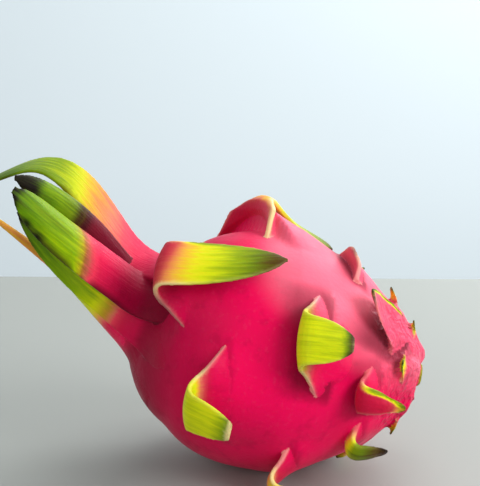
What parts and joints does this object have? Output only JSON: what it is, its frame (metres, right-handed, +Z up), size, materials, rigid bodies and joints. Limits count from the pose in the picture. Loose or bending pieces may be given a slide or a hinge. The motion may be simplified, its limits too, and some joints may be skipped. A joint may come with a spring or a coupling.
{
  "type": "dragon fruit",
  "caption": "Ripe red dragon fruit lying on its side, with a bundle of long green-tipped bracts at its crown and scale-like bracts folded back from its skin.",
  "frame": {"origin": "middle of the flat spot on the fruit's underside that it rests on", "axes": "+Z up from the table, +X towards the cut stem end, -X towards the crown of long bracts, -Y towards the viewer"},
  "size_m": [0.1736, 0.1217, 0.1131],
  "materials": {
    "rind": "waxy magenta rind that runs through salmon and yellow to green at the bracts' tips"
  },
  "bodies": {
    "root": {"dragon_fruit": "rind"}
  },
  "joints": []
}
